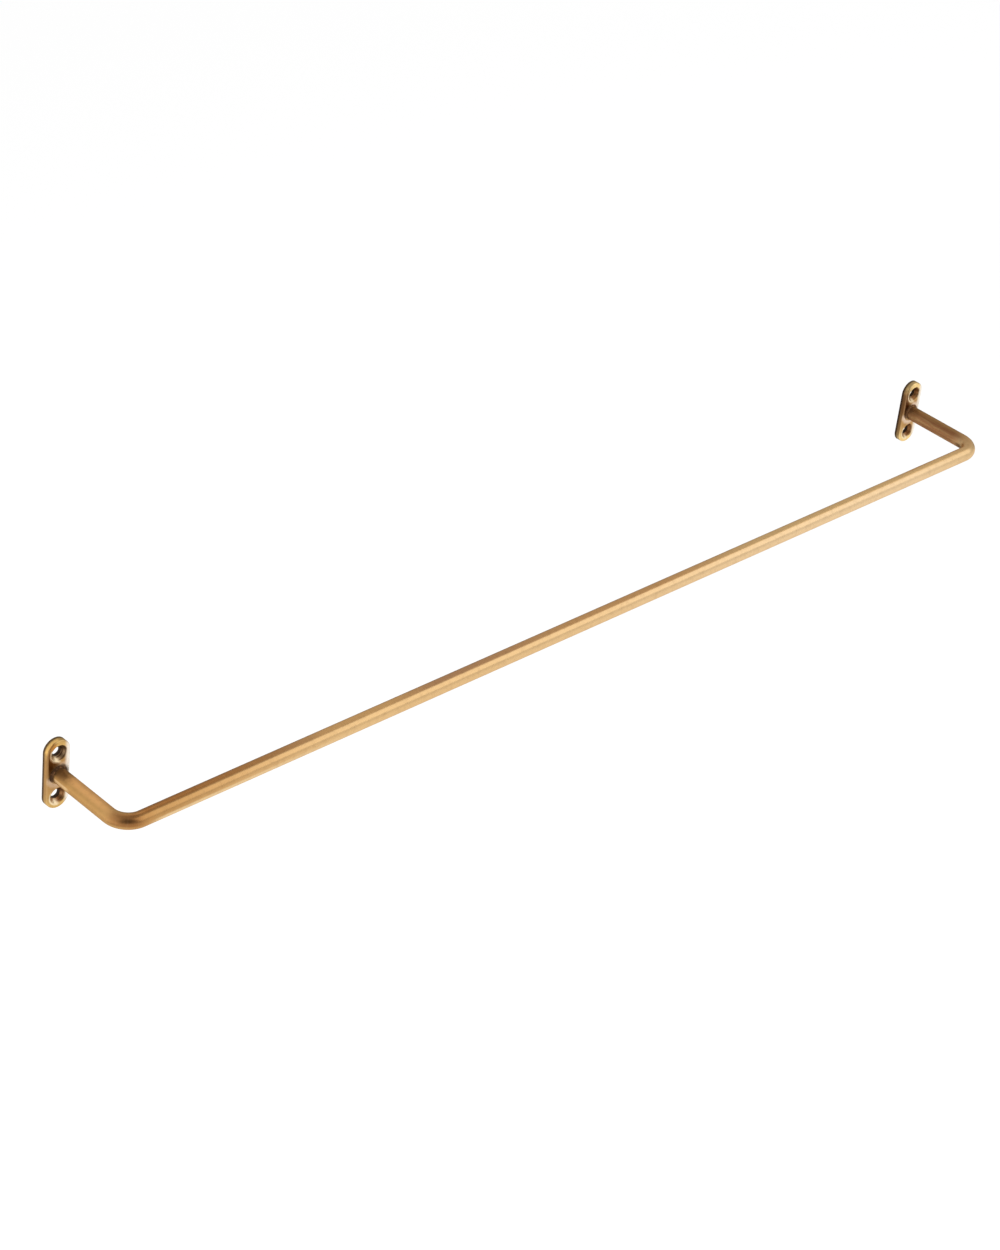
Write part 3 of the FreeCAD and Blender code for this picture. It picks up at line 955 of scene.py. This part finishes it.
def face_and_side_tones(at):
    """Brass that is brighter at the ends, with brown sides, a brown left margin and an amber smear."""
    tree = at.tree
    end_tone = mix_colours(tree, at.on_right, PLATE_GOLD, PLATE_BRIGHT)
    base = mix_colours(tree, rise(tree, at.upright, END_UPRIGHT), PLATE_BRASS, end_tone)
    left_level = ramp(tree, at.z, LEFT_SIDE_Z, LEFT_SIDE_LEVELS)
    side = product(
        tree,
        at.off_face(SIDE_BEHIND_FACE),
        ramp(tree, at.upright, SIDE_UPRIGHT, SIDE_LEVELS),
        at.by_end((left_level, RIGHT_SIDE_LEVEL)),
    )
    side = greatest(tree, side, product(tree, at.on_back, BACK_DEPTH))
    base = mix_colours(tree, side, base, PLATE_SIDE)
    left_margin = product(
        tree,
        fade(tree, at.x, MARGIN_X),
        rise(tree, at.z, MARGIN_Z),
        ramp(tree, at.z, MARGIN_TOP_Z, (MARGIN_DEPTH, at.by_end(MARGIN_TOP_DEPTHS))),
        masked(tree, at.off_face(MARGIN_BEHIND_FACE), (1.0, at.by_end(MARGIN_SIDE_SHARES))),
    )
    base = mix_colours(tree, left_margin, base, mix_colours(tree, at.on_right, PLATE_BROWN, MARGIN_BROWN))
    across = calculate(tree, "SUBTRACT", at.x, SMEAR_X)
    upward = calculate(tree, "SUBTRACT", at.z, SMEAR_Z)
    smear = fade(tree, distance_on_face(tree, across, upward), SMEAR_REACH, SMEAR_DEPTH)
    smear = product(tree, smear, at.near_face(SMEAR_BEHIND_FACE), at.on_left)
    return mix_colours(tree, smear, base, AMBER_SMEAR)


def joint_and_hole_tones(at, base):
    """The base colour with a painted highlight of pale rose round the joint, turned cones, and painted
    highlights on the right margin and the lips.
    """
    tree = at.tree
    rose_highlight = product(
        tree,
        fade(tree, at.from_joint, ROSE_HIGHLIGHT_REACH),
        at.by_end(ROSE_HIGHLIGHT_DEPTHS),
        rest_of(tree, at.upper_left),
        at.near_face(ROSE_HIGHLIGHT_BEHIND_FACE),
    )
    base = mix_colours(tree, rose_highlight, base, PALE_ROSE_HIGHLIGHT)
    cone_tone = mix_colours(tree, rise(tree, at.turned, RING_TONE_RANGE), BROWN_PATINA_AND_SHADE, CONE_BROWN)
    cone_tone = mix_colours(tree, product(tree, at.clean_and_lit_ring, RING_TONE_DEPTH), cone_tone, CONE_RING)
    reddened = greatest(tree, at.on_right, at.lower_left_hole)
    cone_tone = mix_colours(tree, reddened, cone_tone, RED_TARNISH_AND_SHADE_TINT, blend="MULTIPLY")
    base = mix_colours(tree, at.in_cone, base, cone_tone)
    # Painted highlight along the right margin
    right_margin = product(tree, rise(tree, at.x, MARGIN_HIGHLIGHT_X), at.near_face(MARGIN_HIGHLIGHT_BEHIND_FACE))
    base = mix_colours(tree, product(tree, right_margin, rest_of(tree, at.in_cone)), base, MARGIN_HIGHLIGHT)
    # Painted highlight on the lower left of each lip
    lip = fade(tree, at.from_hole, past(COUNTERSINK_RADIUS, LIP_PAST_RIM), LIP_HIGHLIGHT_DEPTH)
    return mix_colours(tree, product(tree, at.lip_highlight_side, lip, at.in_front), base, LIP_HIGHLIGHT)


def plate_finish():
    """Aged brass, browned at the joint (with a painted shadow), on the sides and in the holes (with painted
    shade), and with painted highlights along one edge, round the joint and on the lips.
    """
    material, tree = new_material("aged_brass_plate")
    at = PlatePlace(tree)
    base = joint_and_hole_tones(at, face_and_side_tones(at))
    wear = add_node(tree, "ShaderNodeAttribute", attribute_name="edge_wear").outputs["Fac"]
    grime = plate_grime_and_shade(at)
    finish_brass(tree, at.place, base, grime, PLATE_BRUSH_SCALE, PLATE_ROUGHNESS, wear, PLATE_MOTTLING)
    return material


# Finish of the braze, in millimetres from the arm's axis, with shares for the left joint and the right joint

# Lighter brass along the braze's underside
BRAZE_LIGHTER_Z = (-3.7, -0.8)
BRAZE_LIGHTER_DEPTH = 0.75
BRAZE_PATCH_SCALE = 0.7
BRAZE_PATCH_DETAIL = 4.0
BRAZE_PATCH_RANGE = (0.45, 0.75)
BRAZE_GRIME_LEVELS = (0.72, 0.22)
BRAZE_GRIME_SHARES = (1.0, 0.5)
BRAZE_BRUSH_SCALE = 2.0
BRAZE_ROUGHNESS = 0.40


def braze_finish():
    """Dull, dark patina on the braze, with lighter brass along its underside."""
    material, tree = new_material("dark_braze")
    place = millimetres(tree, add_node(tree, "ShaderNodeTexCoord").outputs["Object"])
    lighter_underside = fade(tree, separate(tree, place)[2], BRAZE_LIGHTER_Z, BRAZE_LIGHTER_DEPTH)
    patch = rise(tree, grain(tree, place, BRAZE_PATCH_SCALE, BRAZE_PATCH_DETAIL), BRAZE_PATCH_RANGE)
    base = mix_colours(tree, patch, BROWN_PATINA_AND_SHADE, ARM_BRASS)
    base = mix_colours(tree, lighter_underside, base, GOLDEN_BRASS)
    share = masked(tree, right_end(tree), BRAZE_GRIME_SHARES)
    grime = product(tree, masked(tree, patch, BRAZE_GRIME_LEVELS), share, rest_of(tree, lighter_underside))
    finish_brass(tree, place, base, grime, BRAZE_BRUSH_SCALE, BRAZE_ROUGHNESS)
    return material


# The studio, in metres

FLOOR_Z = -0.30
FLOOR_HALF = 40.0
FLOOR_SEEN = 0.76
FLOOR_MIRRORED = (0.72, 0.12)
FLOOR_BEHIND_X = (-0.36, -0.14)
FLOOR_BEHIND_Y = (0.05, 0.25)

# Light from the room, by the direction that it comes from
ROOM_LEVEL = 0.52
DARK_SIDE_LEVEL = 0.14
DARK_SIDE_FACING = (0.76, 0.96)
FRONT_GLOW = 0.34
GLOW_X = (0.0, 0.3)
GLOW_Y = (-0.6, -0.2)
GLOW_Z = (0.15, 0.45)

# Soft boxes, each at a place and turned to a target
SOFT_BOXES = (
    {
        "name": "key",
        "place": (0.65, -0.62, 0.72),
        "target": (0.45, -0.05, 0.0),
        "width": 2.0,
        "height": 1.0,
        "brightness": 0.53,
    },
    {
        "name": "left_card",
        "place": (-0.62, 0.08, 0.15),
        "target": (-0.30, 0.08, 0.10),
        "width": 0.56,
        "height": 0.70,
        "brightness": 0.62,
    },
    {
        "name": "back_card",
        "place": (-0.28, 0.215, 0.385),
        "target": (-0.30, -0.03, 0.0),
        "width": 0.50,
        "height": 0.24,
        "brightness": 0.50,
    },
)

# Power in watts of a square metre of soft box, at a brightness of 1
LAMP_POWER = 4


def camera_axes():
    """The camera's right, up and back directions."""
    sideways = math.sin(CAMERA_AZIMUTH)
    forward = math.cos(CAMERA_AZIMUTH)
    level = math.cos(CAMERA_ELEVATION)
    back = Vector((sideways * level, -forward * level, math.sin(CAMERA_ELEVATION)))
    level_right = Vector((forward, sideways, 0))
    level_up = back.cross(level_right)
    right = math.cos(CAMERA_ROLL) * level_right + math.sin(CAMERA_ROLL) * level_up
    return right, back.cross(right), back


def floor_finish():
    """Plain and pale, white to the camera, and darker in reflections where it lies behind the rail."""
    material, tree = new_material("white_floor")
    path = add_node(tree, "ShaderNodeLightPath").outputs
    seen = greatest(tree, path["Is Camera Ray"], path["Is Transmission Ray"])
    x, y, _ = separate(tree, add_node(tree, "ShaderNodeNewGeometry").outputs["Position"])
    behind = product(tree, rise(tree, y, FLOOR_BEHIND_Y), rise(tree, x, FLOOR_BEHIND_X))
    mirrored = product(tree, path["Is Glossy Ray"], masked(tree, behind, FLOOR_MIRRORED))
    glow = calculate(tree, "ADD", product(tree, seen, FLOOR_SEEN), mirrored)
    lit = add_node(tree, "ShaderNodeBsdfDiffuse", {"Color": FLOOR_GREY})
    white = add_node(tree, "ShaderNodeEmission", {"Strength": glow})
    show_surface(tree, add_node(tree, "ShaderNodeAddShader", {0: lit.outputs[0], 1: white.outputs[0]}))
    return material


def add_floor():
    """A large level floor below the rail."""
    mesh = bmesh.new()
    corners = [(-1, -1), (1, -1), (1, 1), (-1, 1)]
    mesh.faces.new([mesh.verts.new((FLOOR_HALF * x, FLOOR_HALF * y, FLOOR_Z)) for x, y in corners])
    data = bpy.data.meshes.new("floor")
    mesh.to_mesh(data)
    mesh.free()
    data.materials.append(floor_finish())
    floor = bpy.data.objects.new("floor", data)
    bpy.context.scene.collection.objects.link(floor)


def add_soft_box(name, place, target, width, height, brightness):
    """A rectangular soft box of even brightness, out of the camera's sight."""
    lamp = bpy.data.lights.new(name, "AREA")
    lamp.shape = "RECTANGLE"
    lamp.size = width
    lamp.size_y = height
    lamp.energy = LAMP_POWER * width * height * brightness
    box = bpy.data.objects.new(name, lamp)
    box.location = place
    box.rotation_euler = (Vector(target) - Vector(place)).to_track_quat("-Z", "Y").to_euler()
    box.visible_camera = False
    bpy.context.scene.collection.objects.link(box)


def add_world():
    """A dim room, darkest on the photographer's side and with a low glow at the front right.

    The camera itself sees it as white.
    """
    world = bpy.data.worlds.new("studio")
    bpy.context.scene.world = world
    world.use_nodes = True
    tree = world.node_tree
    tree.nodes.clear()
    direction = add_node(tree, "ShaderNodeTexCoord").outputs["Generated"]
    _, _, photographer = camera_axes()
    facing = dot_product(tree, direction, tuple(photographer))
    room = ramp(tree, facing, DARK_SIDE_FACING, (ROOM_LEVEL, DARK_SIDE_LEVEL))
    x, y, z = separate(tree, direction)
    glow = product(tree, fade(tree, y, GLOW_Y), rise(tree, x, GLOW_X), fade(tree, z, GLOW_Z, FRONT_GLOW))
    seen = add_node(tree, "ShaderNodeLightPath").outputs["Is Camera Ray"]
    strength = greatest(tree, calculate(tree, "ADD", room, glow), seen)
    background = add_node(tree, "ShaderNodeBackground", {"Color": WHITE, "Strength": strength})
    output = add_node(tree, "ShaderNodeOutputWorld")
    tree.links.new(background.outputs[0], output.inputs["Surface"])


def add_camera():
    """The photograph's viewpoint."""
    right, up, back = camera_axes()
    data = bpy.data.cameras.new("camera")
    data.sensor_width = SENSOR_MM
    data.lens = FOCAL_PIXELS * SENSOR_MM / IMAGE_PIXELS_HIGH
    camera = bpy.data.objects.new("camera", data)
    turned = Matrix((right, up, back)).transposed().to_4x4()
    place = back * CAMERA_DISTANCE + right * CAMERA_RIGHT + up * CAMERA_UP
    camera.matrix_world = Matrix.Translation(place) @ turned
    bpy.context.scene.collection.objects.link(camera)
    bpy.context.scene.camera = camera


build_rod(rod_finish())
plate_material = plate_finish()
braze_material = braze_finish()
for side_name, side in (("left", -1), ("right", 1)):
    build_plate(side_name, side, plate_material)
    build_braze(side_name, side, braze_material)

add_floor()
add_world()
for soft_box in SOFT_BOXES:
    add_soft_box(**soft_box)
add_camera()
bpy.context.scene.view_settings.view_transform = "Standard"
